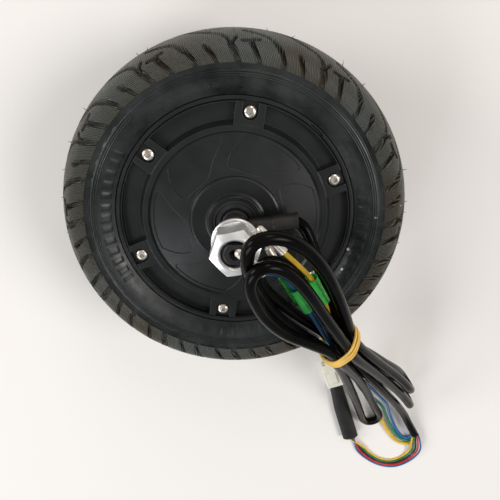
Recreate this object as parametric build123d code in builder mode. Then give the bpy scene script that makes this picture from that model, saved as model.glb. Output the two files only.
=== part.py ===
# Hub motor wheel: an outer-rotor motor inside a 200 x 50 pneumatic tyre.
#
# Frame: origin at the centre of the wheel, +Z along the axle towards the side where the cable
# leaves, +X in the direction in which the cable leaves. Millimetres. The wheel stands on the
# rear axle nut, and the cable hank leans from the front nut over the tyre down to that level.
import os
from math import cos, pi, radians, sin, tan

from build123d import *

os.makedirs("parts", exist_ok=True)

# ------------------------------------------------------------------ driving dimensions
TYRE_R = 100.0            # 200 mm outside diameter
TYRE_W = 50.0             # 50 mm section width
RIM_R = 67.9              # rim flange
RIM_Z = 17.2              # half width over the flanges
DRUM_R = 56.0             # bore of the drum
DRUM_Z = 11.0             # half width of the drum, where the covers seat
WELL_R = 62.3             # drop centre of the rim
SEAT_R = 66.3             # bead seat of the rim

COVER_R = 65.0            # cover outside radius
COVER_Z = 17.5            # face of the cover's outer band
SCREW_PCR = 59.5          # cover screws on a 119 mm circle
SCREW_COUNT = 6
SCREW_START = 22.5
SCREW_SEAT_Z = 15.3       # under the screw head
SCREW_HOLE_R = 2.2
SCREW_R = 1.95            # M4
RIB_W = 16.0              # plain rib round each screw, between the arc pockets
POCKET_Z = 13.5           # floor of the arc pockets
DISH_R = 48.3             # edge of the shallow dish
HUB_RING_R = 25.4         # raised ring round the collar
COLLAR_R = 15.7
COLLAR_Z = 25.0

BEARING_OR = 16.0         # 6002 bearing: 32 x 15 x 9
BEARING_IR = 7.5
BEARING_W = 9.0
BEARING_Z = 10.5          # inner face of the bearing
BALL_R = 2.381
BALL_PCR = 11.75
BALL_COUNT = 9
SEAL_R = 13.0

AXLE_R = 7.0              # M14 thread outside the bearings
AXLE_SHOULDER_R = 10.0
AXLE_FRONT_Z = 69.6
AXLE_REAR_Z = -57.0
FLATS_W = 10.0            # double-D flats for the fork dropouts
FLATS_FRONT_Z = 34.5      # the flats start here and run to the axle end
FLATS_REAR_Z = -27.0
NUT_AF = 22.0
NUT_H = 13.0
NUT_TURN = 12.0           # how far the nuts are turned from the X axis, in degrees
FRONT_NUT_Z = 57.0        # under the front nut
WASHER_R = 12.0

STACK_Z = 9.5             # half length of the stator laminations
STATOR_R = 49.9
YOKE_R = 35.5
YOKE_IR = 30.0
SLOTS = 27
TOOTH_W = 4.6
SLOT_OPENING = 2.2
INSULATOR_T = 0.6
MAGNETS = 30
MAGNET_IR = 50.6
MAGNET_OR = 53.2
MAGNET_Z = 10.5
FLUX_OR = 55.95

CABLE_R = 3.3             # jacket of the main cable
CABLE_Z = 30.5            # height at which the cable leaves the axle
CABLE_BORE_R = 3.45
LEAD_START = (10.0, 1.1, CABLE_Z)   # where the outside cable meets the length inside the axle
SLEEVE_END = (34.0, 3.8, CABLE_Z)
JACKET_END = (161.0, -229.0, -53.2)
FLOOR_Z = AXLE_REAR_Z

# The hank's own frame: origin at the band, x down the hank, z away from the wheel.
hank_plane = Plane(origin=(62, -80, 33), x_dir=(0.424, -0.8, -0.424), z_dir=(0.199, -0.375, 0.906))

screw_ring = PolarLocations(SCREW_PCR, SCREW_COUNT, start_angle=SCREW_START)


def save(part, name):
    """Label a finished piece and write it to its own file."""
    part.label = name
    export_step(part, f"parts/{name}.step")
    print(f"{name:26s} solids {len(part.solids()):3d}  volume {part.volume:11.1f} mm3")


def hank_point(along, across, above=0.0):
    """A point given in the hank's frame, in the wheel's frame."""
    return hank_plane.from_local_coords(Vector(along, across, above))


def route(points, name):
    """Straight runs joined by the largest tangent arcs that the runs allow."""
    points = [Vector(p) for p in points]
    radii = []
    for before, at, after in zip(points, points[1:], points[2:]):
        shorter = min((at - before).length, (after - at).length)
        turn = radians((at - before).get_angle(after - at))
        radii.append(0.45 * shorter / tan(turn / 2))
    print(f"{name}: bend radii " + ", ".join(f"{r:.0f}" for r in radii))
    return points, radii


def tube(points, radius, name):
    """A plain round tube along a route, with its volume compared with section times length."""
    points, radii = route(points, name)
    with BuildPart() as result:
        with BuildLine() as path:
            FilletPolyline(*points, radius=radii)
        start = Plane(origin=path.wire() @ 0, z_dir=path.wire() % 0)
        with BuildSketch(start):
            Circle(radius)
        sweep(path=path.wire(), transition=Transition.ROUND)
    length = path.wire().length
    ratio = result.part.volume / (pi * radius * radius * length)
    print(f"{name}: length {length:.0f} mm, volume over section times length {ratio:.3f}")
    return result.part


# ------------------------------------------------------------------ tyre, inner tube and valve
VALVE_ANGLE = 49.0
VALVE_R = 2.6             # stem radius where it passes the rim
VALVE_PCR = 63.4
VALVE_END_Z = -29.0
TUBE_MID_R = 79.8         # inner tube: ring of round section
TUBE_SECTION_R = 12.2
TUBE_WALL = 1.6

valve_plane = Plane.XZ.rotated((0, 0, VALVE_ANGLE))

with BuildPart() as tyre:
    with BuildSketch(Plane.XZ):
        with BuildLine() as outline:
            Polyline((69.5, 9.0), (SEAT_R, 8.0), (SEAT_R, 14.9), (68.1, 15.2), (68.1, 17.3))
            Spline((68.1, 17.3), (79.0, 23.0), (86.5, TYRE_W / 2), (92.0, 23.2), (97.4, 14.5), (TYRE_R, 0),
                   (97.4, -14.5), (92.0, -23.2), (86.5, -TYRE_W / 2), (79.0, -23.0), (68.1, -17.3))
            Polyline((68.1, -17.3), (68.1, -15.2), (SEAT_R, -14.9), (SEAT_R, -8.0), (69.5, -9.0))
            Spline((69.5, -9.0), (80.0, -18.5), (93.5, 0), (80.0, 18.5), (69.5, 9.0))
        make_face()
    revolve(axis=Axis.Z)
save(tyre.part, "tyre")

with BuildPart() as valve_channel:
    with BuildLine(valve_plane) as stem_path:
        FilletPolyline((TUBE_MID_R - TUBE_SECTION_R + TUBE_WALL + 1.2, -0.5), (VALVE_PCR, -0.5),
                       (VALVE_PCR, VALVE_END_Z), radius=4.0)
    with BuildSketch(Plane(origin=stem_path.wire() @ 0, z_dir=stem_path.wire() % 0)):
        Circle(VALVE_R)
    sweep(path=stem_path.wire())

with BuildPart() as valve_stem:
    add(valve_channel.part)
    with BuildSketch(Plane(origin=stem_path.wire() @ 0, z_dir=stem_path.wire() % 0)):
        Circle(1.2)
    sweep(path=stem_path.wire(), mode=Mode.SUBTRACT)
save(valve_stem.part, "valve_stem")

with BuildPart() as valve_cap:
    with BuildSketch(Plane.XY.offset(VALVE_END_Z - 1.2)):
        with PolarLocations(VALVE_PCR, 1, start_angle=VALVE_ANGLE):
            Circle(3.9)
    extrude(amount=9.0)
    with BuildSketch(Plane.XY.offset(VALVE_END_Z)):
        with PolarLocations(VALVE_PCR, 1, start_angle=VALVE_ANGLE):
            Circle(VALVE_R)
    extrude(amount=9.0, mode=Mode.SUBTRACT)
    chamfer(valve_cap.faces().sort_by(Axis.Z)[0].edges(), 0.8)
save(valve_cap.part, "valve_cap")

with BuildPart() as inner_tube:
    Torus(TUBE_MID_R, TUBE_SECTION_R)
    Torus(TUBE_MID_R, TUBE_SECTION_R - TUBE_WALL, mode=Mode.SUBTRACT)
    add(valve_channel.part, mode=Mode.SUBTRACT)
save(inner_tube.part, "inner_tube")

# ------------------------------------------------------------------ hub shell with the rim
SCREW_HOLE_END_Z = 5.0

with BuildPart() as hub_shell:
    with BuildSketch(Plane.XZ):
        with BuildLine():
            Polyline((DRUM_R, 0), (DRUM_R, DRUM_Z), (COVER_R + 0.2, DRUM_Z), (COVER_R + 0.2, RIM_Z - 0.6),
                     (COVER_R + 0.8, RIM_Z), (RIM_R - 0.6, RIM_Z), (RIM_R, RIM_Z - 0.6), (RIM_R, 15.4),
                     (SEAT_R, 15.0), (SEAT_R, 7.6), (64.0, 6.4), (WELL_R, 5.0), (WELL_R, 0), close=True)
        make_face()
        mirror(about=Plane.XZ)
    revolve(axis=Axis.Z)
    for side in (1, -1):
        with BuildSketch(Plane.XY.offset(side * DRUM_Z)):
            with screw_ring:
                Circle(2.0)
        extrude(amount=-side * (DRUM_Z - SCREW_HOLE_END_Z), mode=Mode.SUBTRACT)
        # shallow valve recess in the lip of the rim
        with BuildSketch(Plane.XY.offset(side * (RIM_Z - 1.6))):
            with PolarLocations(COVER_R + 0.6, 1, start_angle=VALVE_ANGLE):
                RectangleRounded(2.6, 9.0, 1.0)
        extrude(amount=side * 2.0, mode=Mode.SUBTRACT)
    with BuildSketch(Plane(origin=stem_path.wire() @ 0, z_dir=stem_path.wire() % 0)):
        Circle(VALVE_R + 0.1)
    sweep(path=stem_path.wire(), mode=Mode.SUBTRACT)
save(hub_shell.part, "hub_shell")

# ------------------------------------------------------------------ covers and their screws
DISH_EDGE_Z = 16.8
DISH_INNER_Z = 20.4
BLADES = 6
BLADE_DEPTH = 0.45
BLADE_OUTER_R = 46.6
# one blade of the swirl, as radius and angle: its leading side from the dish edge inwards, then its
# trailing side back out
BLADE_LEADING = ((BLADE_OUTER_R, 97), (40, 104.5), (33, 113.5), (28.6, 121.5), (27.6, 131), (28.1, 143), (29.6, 154))
BLADE_TRAILING = ((31.5, 157.5), (37, 154.5), (42.2, 148.8), (BLADE_OUTER_R, 142.5))


def polar(radius, angle):
    return (radius * cos(radians(angle)), radius * sin(radians(angle)))


with BuildPart() as pocket:
    # ring sector with a slanted inner wall; the ribs beside the screws have parallel sides
    with BuildSketch(Plane.XZ):
        Polygon((55.0, POCKET_Z), (64.1, POCKET_Z), (64.4, COVER_Z + 1), (52.1, COVER_Z + 1), align=None)
    revolve(axis=Axis.Z)
    with BuildSketch(Plane.XY.offset(POCKET_Z)):
        with screw_ring:
            Rectangle(30.0, RIB_W)
    extrude(amount=COVER_Z, mode=Mode.SUBTRACT)


with BuildSketch() as blade:
    with BuildLine():
        leading = Spline(*[polar(*point) for point in BLADE_LEADING])
        trailing = Spline(*[polar(*point) for point in BLADE_TRAILING])
        Line(leading @ 1, trailing @ 0)
        ThreePointArc(trailing @ 1, polar(BLADE_OUTER_R, 120), leading @ 0)
    make_face()
    fillet(blade.vertices(), 1.5)

with BuildPart() as swirl:
    # the blades, cut off parallel to the dish just below its surface
    with BuildSketch(Plane.XY.offset(DISH_EDGE_Z - 2)):
        with PolarLocations(0, BLADES):
            add(blade.sketch)
    extrude(amount=8.0)
    with BuildSketch(Plane.XZ):
        Polygon((DISH_R, DISH_EDGE_Z - BLADE_DEPTH), (DISH_R, COLLAR_Z), (HUB_RING_R + 0.7, COLLAR_Z),
                (HUB_RING_R + 0.7, DISH_INNER_Z - BLADE_DEPTH), align=None)
    revolve(axis=Axis.Z, mode=Mode.INTERSECT)


def build_cover(valve_notch):
    """A cast side cover on the +Z side: dished disc, bearing boss, seal collar and screw pockets."""
    with BuildPart() as cover:
        with BuildSketch(Plane.XZ):
            with BuildLine():
                Polyline((COVER_R, DRUM_Z), (COVER_R, COVER_Z - 0.5), (COVER_R - 0.5, COVER_Z), (53.0, COVER_Z),
                         (52.5, COVER_Z + 0.5), (49.6, COVER_Z + 0.5), (DISH_R, DISH_EDGE_Z),
                         (HUB_RING_R + 0.7, DISH_INNER_Z), (HUB_RING_R, 21.6), (HUB_RING_R - 1.0, 22.1),
                         (17.0, 22.1), (COLLAR_R, 22.6), (COLLAR_R, COLLAR_Z - 0.6), (COLLAR_R - 0.6, COLLAR_Z),
                         (SEAL_R, COLLAR_Z), (SEAL_R, BEARING_Z + BEARING_W), (BEARING_OR, BEARING_Z + BEARING_W),
                         (BEARING_OR, BEARING_Z), (20.5, BEARING_Z), (21.0, 17.0), (49.4, 13.5),
                         (50.3, DRUM_Z), close=True)
            make_face()
        revolve(axis=Axis.Z)
        add(pocket.part, mode=Mode.SUBTRACT)
        add(swirl.part, mode=Mode.SUBTRACT)
        # D-shaped screw pockets, open at the edge, and the clearance holes
        with BuildSketch(Plane.XY.offset(SCREW_SEAT_Z)):
            with screw_ring:
                Circle(4.2)
            with PolarLocations(SCREW_PCR + 3.5, SCREW_COUNT, start_angle=SCREW_START):
                Rectangle(7.0, 8.4)
        extrude(amount=5.0, mode=Mode.SUBTRACT)
        with BuildSketch(Plane.XY.offset(DRUM_Z)):
            with screw_ring:
                Circle(SCREW_HOLE_R)
        extrude(amount=8.0, mode=Mode.SUBTRACT)
        if valve_notch:
            with BuildSketch(Plane.XY.offset(DRUM_Z - 1)):
                with PolarLocations(VALVE_PCR, 1, start_angle=VALVE_ANGLE):
                    Circle(VALVE_R + 1.2)
            extrude(amount=12.0, mode=Mode.SUBTRACT)
    return cover.part


save(build_cover(valve_notch=False), "front_cover")
save(mirror(build_cover(valve_notch=True), about=Plane.XY), "rear_cover")

with BuildPart() as screw:
    # M4 x 10 button head with a hexagon socket
    with BuildSketch(Plane.XZ):
        with BuildLine():
            Line((0, SCREW_HOLE_END_Z + 0.3), (SCREW_R, SCREW_HOLE_END_Z + 0.3))
            Line((SCREW_R, SCREW_HOLE_END_Z + 0.3), (SCREW_R, SCREW_SEAT_Z))
            Line((SCREW_R, SCREW_SEAT_Z), (3.8, SCREW_SEAT_Z))
            ThreePointArc((3.8, SCREW_SEAT_Z), (3.3, SCREW_SEAT_Z + 1.4), (2.0, SCREW_SEAT_Z + 2.2))
            Line((2.0, SCREW_SEAT_Z + 2.2), (0, SCREW_SEAT_Z + 2.2))
            Line((0, SCREW_SEAT_Z + 2.2), (0, SCREW_HOLE_END_Z + 0.3))
        make_face()
    revolve(axis=Axis.Z)
    with BuildSketch(Plane.XY.offset(SCREW_SEAT_Z + 0.7)):
        RegularPolygon(1.25, 6, major_radius=False)
    extrude(amount=3.0, mode=Mode.SUBTRACT)

with BuildPart() as front_screws:
    with screw_ring:
        add(screw.part)
save(front_screws.part, "front_cover_screws")
save(mirror(front_screws.part, about=Plane.XY), "rear_cover_screws")

# ------------------------------------------------------------------ magnets and flux ring
with BuildPart() as flux_ring:
    Cylinder(FLUX_OR, 2 * MAGNET_Z + 0.4)
    Cylinder(MAGNET_OR, 2 * MAGNET_Z + 0.4, mode=Mode.SUBTRACT)
save(flux_ring.part, "flux_ring")

with BuildPart() as magnets:
    with BuildSketch(Plane.XY.offset(-MAGNET_Z)):
        Circle(MAGNET_OR)
        Circle(MAGNET_IR, mode=Mode.SUBTRACT)
        with PolarLocations(MAGNET_OR, MAGNETS):
            Rectangle(10.0, 1.2, mode=Mode.SUBTRACT)
    extrude(amount=2 * MAGNET_Z)
save(magnets.part, "magnets")

# ------------------------------------------------------------------ bearings and oil seals
RACE_CLEARANCE = 0.03
GROOVE_R = BALL_R + RACE_CLEARANCE
BEARING_MID_Z = BEARING_Z + BEARING_W / 2
OUTER_RACE_IR = 13.5
INNER_RACE_OR = 10.0
CAGE = (11.1, 12.4, 6.4)        # inner radius, outer radius and width

with BuildPart() as bearing_outer:
    with Locations((0, 0, BEARING_MID_Z)):
        Cylinder(BEARING_OR, BEARING_W)
        Cylinder(OUTER_RACE_IR, BEARING_W, mode=Mode.SUBTRACT)
        Torus(BALL_PCR, GROOVE_R, mode=Mode.SUBTRACT)

with BuildPart() as bearing_inner:
    with Locations((0, 0, BEARING_MID_Z)):
        Cylinder(INNER_RACE_OR, BEARING_W)
        Cylinder(BEARING_IR, BEARING_W, mode=Mode.SUBTRACT)
        Torus(BALL_PCR, GROOVE_R, mode=Mode.SUBTRACT)

with BuildPart() as bearing_balls:
    with Locations((0, 0, BEARING_MID_Z)):
        with PolarLocations(BALL_PCR, BALL_COUNT):
            Sphere(BALL_R)

with BuildPart() as bearing_cage:
    with Locations((0, 0, BEARING_MID_Z)):
        Cylinder(CAGE[1], CAGE[2])
        Cylinder(CAGE[0], CAGE[2], mode=Mode.SUBTRACT)
        with PolarLocations(BALL_PCR, BALL_COUNT):
            Cylinder(BALL_R + 0.06, 4.0, rotation=(0, 90, 0), mode=Mode.SUBTRACT)

with BuildPart() as oil_seal:
    # stepped rubber ring in the collar; its lip runs on the axle
    with BuildSketch(Plane.XZ):
        Polygon((SEAL_R, 20.4), (SEAL_R, 24.4), (11.6, 24.4), (11.0, 23.4), (8.6, 23.4), (BEARING_IR + 0.06, 22.6),
                (BEARING_IR + 0.06, 21.8), (8.6, 21.2), (10.4, 20.4), align=None)
    revolve(axis=Axis.Z)

for piece, name in ((bearing_outer, "bearing_outer_race"), (bearing_inner, "bearing_inner_race"),
                    (bearing_balls, "bearing_balls"), (bearing_cage, "bearing_cage"), (oil_seal, "oil_seal")):
    save(piece.part, f"front_{name}")
    save(mirror(piece.part, about=Plane.XY), f"rear_{name}")

# ------------------------------------------------------------------ axle, key and the cable inside
LEAD_WINDOW_Z = 6.3       # side window through which the cable enters the axle
KEY = (4.0, 4.0, 8.0)     # width, height and length
CARRIER_Z = (-9.0, 0.0)   # hub of the stator carrier

with BuildPart() as cable_bore:
    with BuildLine() as bore_path:
        FilletPolyline((-13.0, 0, LEAD_WINDOW_Z), (0, 0, LEAD_WINDOW_Z), (0, 0, CABLE_Z), LEAD_START, radius=5.0)
    with BuildSketch(Plane(origin=bore_path.wire() @ 0, z_dir=bore_path.wire() % 0)):
        Circle(CABLE_BORE_R)
    sweep(path=bore_path.wire())

with BuildPart() as axle:
    with BuildSketch(Plane.XZ):
        Polygon((0, AXLE_REAR_Z), (AXLE_R - 1.2, AXLE_REAR_Z), (AXLE_R, AXLE_REAR_Z + 1.2), (AXLE_R, -26.5),
                (BEARING_IR, -26.0), (BEARING_IR, -BEARING_Z), (AXLE_SHOULDER_R, -BEARING_Z),
                (AXLE_SHOULDER_R, BEARING_Z), (BEARING_IR, BEARING_Z), (BEARING_IR, 26.0), (AXLE_R, 26.5),
                (AXLE_R, AXLE_FRONT_Z - 1.6), (AXLE_R - 1.6, AXLE_FRONT_Z), (2.9, AXLE_FRONT_Z),
                (1.5, AXLE_FRONT_Z - 2.4), (1.5, AXLE_FRONT_Z - 6.0), (0, AXLE_FRONT_Z - 6.8), align=None)
    revolve(axis=Axis.Z)
    add(cable_bore.part, mode=Mode.SUBTRACT)
    # double-D flats for the two dropouts
    for start, end in ((FLATS_FRONT_Z, AXLE_FRONT_Z), (AXLE_REAR_Z, FLATS_REAR_Z)):
        with BuildSketch(Plane.XY.offset(start)):
            with GridLocations(0, FLATS_W + 10.0, 1, 2):
                Rectangle(30.0, 10.0)
        extrude(amount=end - start, mode=Mode.SUBTRACT)
    # keyway for the stator carrier
    with BuildSketch(Plane.XY.offset(CARRIER_Z[0])):
        with Locations((0, AXLE_SHOULDER_R)):
            Rectangle(KEY[0], KEY[1])
    extrude(amount=KEY[2], mode=Mode.SUBTRACT)
save(axle.part, "axle")

with BuildPart() as axle_key:
    with BuildSketch(Plane.XY.offset(CARRIER_Z[0])):
        with Locations((0, AXLE_SHOULDER_R)):
            Rectangle(KEY[0], KEY[1])
    extrude(amount=KEY[2])
save(axle_key.part, "axle_key")

with BuildPart() as axle_cable:
    with BuildLine() as inside_path:
        FilletPolyline((-10.8, 0, LEAD_WINDOW_Z), (0, 0, LEAD_WINDOW_Z), (0, 0, CABLE_Z), LEAD_START, radius=5.0)
    with BuildSketch(Plane(origin=inside_path.wire() @ 0, z_dir=inside_path.wire() % 0)):
        Circle(CABLE_R)
    sweep(path=inside_path.wire())
save(axle_cable.part, "axle_cable")

# ------------------------------------------------------------------ stator
COIL_R = (38.0, 46.3)     # radial extent of a coil
COIL_INNER = (4.9, 20.4)  # opening of a coil, round a tooth with its insulators
COIL_OUTER = (8.4, 24.8)

with BuildPart() as stator_carrier:
    with BuildSketch(Plane.XY.offset(CARRIER_Z[0])):
        Circle(15.5)
        Circle(AXLE_SHOULDER_R, mode=Mode.SUBTRACT)
        with Locations((0, AXLE_SHOULDER_R)):
            Rectangle(KEY[0], KEY[1], mode=Mode.SUBTRACT)
    extrude(amount=CARRIER_Z[1] - CARRIER_Z[0])
    with BuildSketch(Plane.XY.offset(-7.0)):
        Circle(27.5)
        Circle(15.0, mode=Mode.SUBTRACT)
        with PolarLocations(21.3, 6, start_angle=30):
            Circle(4.3, mode=Mode.SUBTRACT)
    extrude(amount=4.0)
    with BuildSketch(Plane.XY.offset(-STACK_Z)):
        Circle(YOKE_IR)
        Circle(27.0, mode=Mode.SUBTRACT)
    extrude(amount=2 * STACK_Z)
save(stator_carrier.part, "stator_carrier")

with BuildSketch() as lamination:
    Circle(YOKE_R)
    with PolarLocations(41.0, SLOTS):
        Rectangle(12.8, TOOTH_W)
    with BuildSketch(mode=Mode.PRIVATE) as shoes:
        Circle(STATOR_R)
        Circle(46.8, mode=Mode.SUBTRACT)
        with PolarLocations(48.0, SLOTS, start_angle=180 / SLOTS):
            Rectangle(8.0, SLOT_OPENING, mode=Mode.SUBTRACT)
    add(shoes.sketch)
    Circle(YOKE_IR, mode=Mode.SUBTRACT)

with BuildPart() as stator_core:
    add(lamination.sketch.moved(Location((0, 0, -STACK_Z))))
    extrude(amount=2 * STACK_Z)
save(stator_core.part, "stator_core")

for name, start in (("front_insulator", STACK_Z), ("rear_insulator", -STACK_Z - INSULATOR_T)):
    with BuildPart() as insulator:
        add(lamination.sketch.moved(Location((0, 0, start))))
        extrude(amount=INSULATOR_T)
    save(insulator.part, name)

with BuildPart() as coil:
    with BuildSketch(Plane.YZ.offset(COIL_R[0])):
        RectangleRounded(*COIL_OUTER, 1.6)
        RectangleRounded(*COIL_INNER, 0.4, mode=Mode.SUBTRACT)
    extrude(amount=COIL_R[1] - COIL_R[0])

with BuildPart() as windings:
    with PolarLocations(0, SLOTS):
        add(coil.part)
save(windings.part, "windings")

LEAD_SPREAD = 2.6
with BuildPart() as winding_leads:
    # three conductors from the cable's end to the coils
    for offset_y in (-LEAD_SPREAD, 0, LEAD_SPREAD):
        with BuildSketch(Plane(origin=(-11.4, offset_y, LEAD_WINDOW_Z + 0.2), z_dir=(-26.4, offset_y * 2, 7.5))):
            Circle(0.9)
        extrude(amount=26.6)
save(winding_leads.part, "winding_leads")

# ------------------------------------------------------------------ hall sensors
BOARD_R = (30.8, 37.2)
BOARD_Z = STACK_Z + INSULATOR_T
BOARD_T = 1.4

with BuildPart() as hall_board:
    with BuildSketch(Plane.XZ):
        Polygon((BOARD_R[0], BOARD_Z), (BOARD_R[1], BOARD_Z), (BOARD_R[1], BOARD_Z + BOARD_T),
                (BOARD_R[0], BOARD_Z + BOARD_T), align=None)
    revolve(axis=Axis.Z, revolution_arc=70)
    with BuildSketch(Plane.XY.offset(BOARD_Z)):
        with Locations(polar(33.0, 6), polar(33.0, 64)):
            Circle(1.2)
    extrude(amount=BOARD_T, mode=Mode.SUBTRACT)
save(hall_board.part, "hall_board")

with BuildPart() as hall_sensors:
    # three sensors on the tooth shoes, each with a flat lead back to the board
    with PolarLocations(0, 3, start_angle=22, angular_range=36, endpoint=True):
        with Locations((48.2, 0, BOARD_Z)):
            Box(1.6, 4.0, 2.9, align=(Align.CENTER, Align.CENTER, Align.MIN))
        with Locations((36.4, 0, BOARD_Z + BOARD_T)):
            Box(0.8, 3.0, 1.3, align=(Align.CENTER, Align.CENTER, Align.MIN))
        with Locations((42.2, 0, BOARD_Z + BOARD_T + 1.1)):
            Box(12.4, 3.0, 0.3, align=(Align.CENTER, Align.CENTER, Align.MIN))
save(hall_sensors.part, "hall_sensors")

# ------------------------------------------------------------------ axle nuts and washers
def build_nut(base_z, height):
    """M14 hexagon nut with bevelled faces, from base_z upwards."""
    with BuildPart() as nut:
        with BuildSketch(Plane.XY.offset(base_z)):
            RegularPolygon(NUT_AF / 2, 6, major_radius=False, rotation=NUT_TURN)
            Circle(AXLE_R + 0.05, mode=Mode.SUBTRACT)
        extrude(amount=height)
        with BuildSketch(Plane.XZ):
            Polygon((AXLE_R, base_z), (11.6, base_z), (12.8, base_z + 0.9), (12.8, base_z + height - 2.3),
                    (9.4, base_z + height - 0.5), (8.4, base_z + height), (7.9, base_z + height),
                    (AXLE_R, base_z + height - 0.9), align=None)
        revolve(axis=Axis.Z, mode=Mode.INTERSECT)
    return nut.part


def build_washer(base_z, thickness, radius, split=0.0):
    """Plain washer, or a split spring washer when the split has a width."""
    with BuildPart() as washer:
        with BuildSketch(Plane.XY.offset(base_z)):
            Circle(radius)
            Circle(AXLE_R + 0.15, mode=Mode.SUBTRACT)
            if split:
                with Locations((0, radius)):
                    Rectangle(split, 2 * (radius - AXLE_R), rotation=-25, mode=Mode.SUBTRACT)
        extrude(amount=thickness)
        chamfer(washer.edges().filter_by(GeomType.CIRCLE).sort_by(SortBy.RADIUS)[-2:], 0.4)
    return washer.part


REAR_NUT_TOP_Z = AXLE_REAR_Z + NUT_H
save(build_washer(51.0, 2.2, WASHER_R + 0.2), "front_flat_washer")
save(build_washer(53.2, 2.1, WASHER_R - 0.7, split=1.4), "front_spring_washer")
save(build_washer(55.3, FRONT_NUT_Z - 55.3, WASHER_R), "front_outer_washer")
save(build_nut(FRONT_NUT_Z, NUT_H), "front_axle_nut")
save(build_washer(REAR_NUT_TOP_Z, 2.1, WASHER_R - 0.7, split=1.4), "rear_spring_washer")
save(build_washer(REAR_NUT_TOP_Z + 2.1, 2.2, WASHER_R + 0.2), "rear_flat_washer")
save(mirror(build_nut(-REAR_NUT_TOP_Z, NUT_H), about=Plane.XY), "rear_axle_nut")

# ------------------------------------------------------------------ cable, hank and band
sleeve_plane = Plane(origin=(7.4, 0.8, CABLE_Z), z_dir=Vector(*SLEEVE_END) - Vector(7.4, 0.8, CABLE_Z))
SLEEVE_L = 26.8
with BuildPart() as cable_sleeve:
    # two lengths of shrink sleeve, the outer one with an open flared mouth
    with BuildSketch(Plane.XZ):
        Polygon((CABLE_R + 0.05, 0), (3.8, 0), (3.85, 12.6), (4.3, 13.4), (4.2, SLEEVE_L - 3.0), (4.8, SLEEVE_L),
                (4.3, SLEEVE_L), (CABLE_R + 0.05, SLEEVE_L - 4.0), align=None)
    revolve(axis=Axis.Z)
save(sleeve_plane.location * cable_sleeve.part, "cable_sleeve")

LEAD_ROUTE = [LEAD_START, (22, 2.3, 30.6), (35.4, 4.0, 30.8), (42, -8, 32.5), (45.5, -21, 38), (54, -38, 43.5)]
save(tube(LEAD_ROUTE, CABLE_R, "cable_lead"), "cable_lead")

# sections of the hank's outer shape: along, across, above, half width, half thickness
HANK_SECTIONS = ((-114, 2, 0.5, 7, 3.5), (-102, 0, 1, 15, 5.5), (-76, -4, 0, 20.5, 9), (-45, -3.5, 0, 20, 9.6),
                 (-7, 3, 0, 12.6, 9.8), (5, 3.5, 0, 12.6, 9.6), (50, 7, -2, 19, 9.5), (95, 8, -7, 25, 8),
                 (125, 9, -10, 27, 7), (148, 4, -11, 20, 5.5), (165, -7, -13, 8, 3.8))
with BuildPart() as hank_shape:
    for along, across, above, half_w, half_t in HANK_SECTIONS:
        section_plane = Plane(origin=hank_point(along, across, above), x_dir=hank_plane.y_dir,
                              z_dir=hank_plane.x_dir)
        with BuildSketch(section_plane):
            Ellipse(half_w, half_t)
    loft(ruled=True)

BAND_TURN = 27.0
turn_axis = Axis((0, 0, 0), hank_plane.z_dir)
band_plane = Plane(origin=hank_point(-7, 3), x_dir=hank_plane.y_dir.rotate(turn_axis, BAND_TURN),
                   z_dir=hank_plane.x_dir.rotate(turn_axis, BAND_TURN))
with BuildPart() as rubber_band:
    with BuildSketch(band_plane):
        Ellipse(15.0, 10.8)
        Ellipse(13.6, 9.4, mode=Mode.SUBTRACT)
    extrude(amount=3.4, both=True)
save(rubber_band.part, "rubber_band")

with BuildPart() as cable_hank:
    add(hank_shape.part)
    add(rubber_band.part, mode=Mode.SUBTRACT)
save(cable_hank.part, "cable_hank")

TAIL_ROUTE = [(118, -158, -21), (133, -180, -35), (146, -201, -47), (154, -217, -51.5), JACKET_END]
save(tube(TAIL_ROUTE, CABLE_R, "cable_tail"), "cable_tail")

# ------------------------------------------------------------------ phase wires and their terminals
PHASE_R = 1.6
PHASE_ROUTES = {
    "yellow": [(163, -228.9, -55.2), (165, -236.5, -55.3), (158, -243.5, -55.3), (147, -240.5, -55.3),
               (137, -228, -55), (128, -210, -52), (121, -193, -46)],
    "green": [(161.2, -229.6, -54.9), (162, -236, -55.3), (155.5, -239.5, -55.3), (147, -234.5, -55.3),
              (139, -221, -54), (130.5, -203, -49.5), (124, -187, -42)],
    "blue": [(159.3, -230.4, -54.6), (158.5, -235.5, -55.2), (152.5, -235.5, -55.3), (145.5, -227, -54.5),
             (138, -212, -51), (131, -196, -45), (126, -181, -37)],
}
for colour, points in PHASE_ROUTES.items():
    save(tube(points, PHASE_R, f"phase_wire_{colour}"), f"phase_wire_{colour}")

# bullet terminals: where the tip starts and where the crimp barrel points
TERMINALS = (((0.4, 3.4, 72.8), (14.0, -8.5, 72.0)), ((10.7, 11.6, 63.0), (25.5, -2.8, 64.0)),
             ((15.6, 0.8, 60.5), (24.5, -15.0, 60.5)))
with BuildPart() as bullet:
    with BuildSketch(Plane.XZ):
        Polygon((0, 0), (1.2, 0), (2.0, 1.0), (2.0, 7.6), (1.6, 8.2), (1.6, 9.0), (2.3, 9.6), (2.3, 18.0),
                (0, 18.0), align=None)
    revolve(axis=Axis.Z)
bullets = [Plane(origin=tip, z_dir=Vector(*barrel) - Vector(*tip)).location * bullet.part
           for tip, barrel in TERMINALS]
save(Compound(children=bullets), "phase_terminals")

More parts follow.
